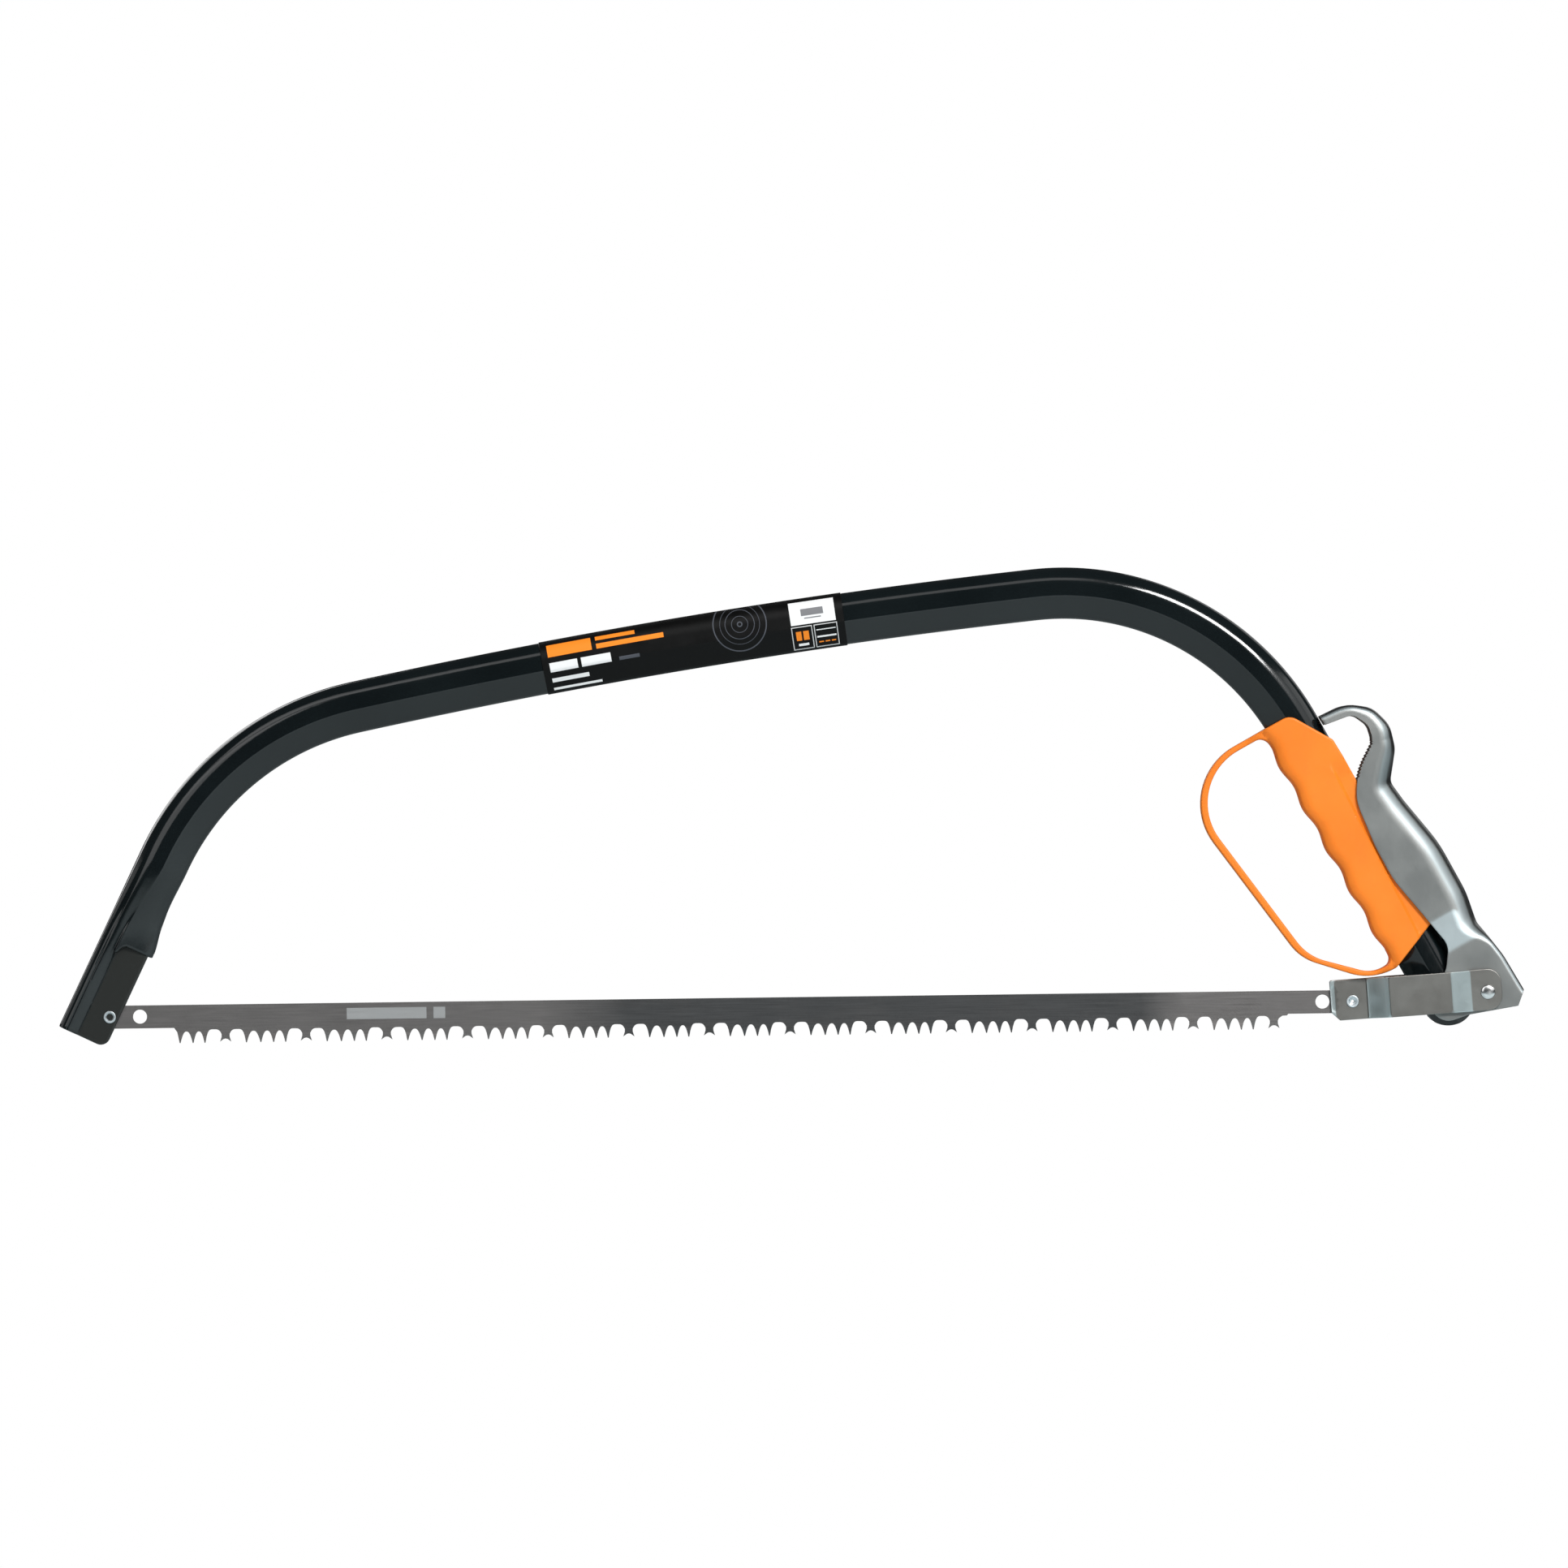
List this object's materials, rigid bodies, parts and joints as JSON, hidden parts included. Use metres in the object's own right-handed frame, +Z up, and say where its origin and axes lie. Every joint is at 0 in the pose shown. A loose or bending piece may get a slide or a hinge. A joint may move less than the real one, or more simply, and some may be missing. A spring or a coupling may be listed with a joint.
{
  "type": "bow saw",
  "caption": "Bow saw: bent tube frame with a pressed toe, guarded orange hand grip, over-centre tension lever with link plates, and a peg and raker blade.",
  "frame": {"origin": "middle of the hand grip, on the tube's centreline and in the plane of the bow", "axes": "+X from the toe towards the handle along the blade, +Y across the saw, +Z up with the teeth pointing down"},
  "size_m": [0.6246, 0.0306, 0.1984],
  "materials": {
    "bow_enamel": "semi-gloss black enamel on steel tube",
    "label_film": "printed black film",
    "grip_plastic": "satin moulded plastic, orange",
    "plug_plastic": "moulded plastic, black",
    "zinc_plate": "zinc plated pressed steel, satin",
    "link_steel": "zinc plated steel strip, satin",
    "plated_steel": "plated steel",
    "pin_steel": "bright steel pin",
    "rivet_steel": "bright rivet head",
    "blade_steel": "rolled and lacquered saw steel"
  },
  "bodies": {
    "frame": {"frame_tube": "bow_enamel", "label_sleeve": "label_film", "grip": "grip_plastic", "end_plug": "plug_plastic", "pivot_bush": "plated_steel", "pivot_washers": "plated_steel", "toe_pin": "pin_steel"},
    "lever": {"tension_lever": "zinc_plate", "pivot_rivet": "plated_steel", "lever_spacer": "plated_steel", "link_rivet": "rivet_steel"},
    "link": {"link_plate_front": "link_steel", "link_plate_back": "link_steel", "link_washers": "plated_steel", "blade_studs": "pin_steel"},
    "saw_blade": {"blade": "blade_steel"}
  },
  "joints": [
    {"name": "lever_open", "type": "hinge", "parent": "frame", "child": "lever", "pos_m": [0.03846, 0, -0.07015], "axis": [0, 1, 0], "range_deg": [0, 90]},
    {"name": "link_swing", "type": "hinge", "parent": "lever", "child": "link", "pos_m": [0.05495, 0, -0.06716], "axis": [0, -1, 0], "range_deg": [0, 122]},
    {"name": "blade_drop", "type": "hinge", "parent": "frame", "child": "saw_blade", "pos_m": [-0.53204, 0, -0.07065], "axis": [0, 1, 0], "range_deg": [0, 5.6]}
  ],
  "couplings": [
    {"joint": "link_swing", "follows": "lever_open", "ratio": 1.347},
    {"joint": "blade_drop", "follows": "lever_open", "ratio": 0.0612}
  ]
}
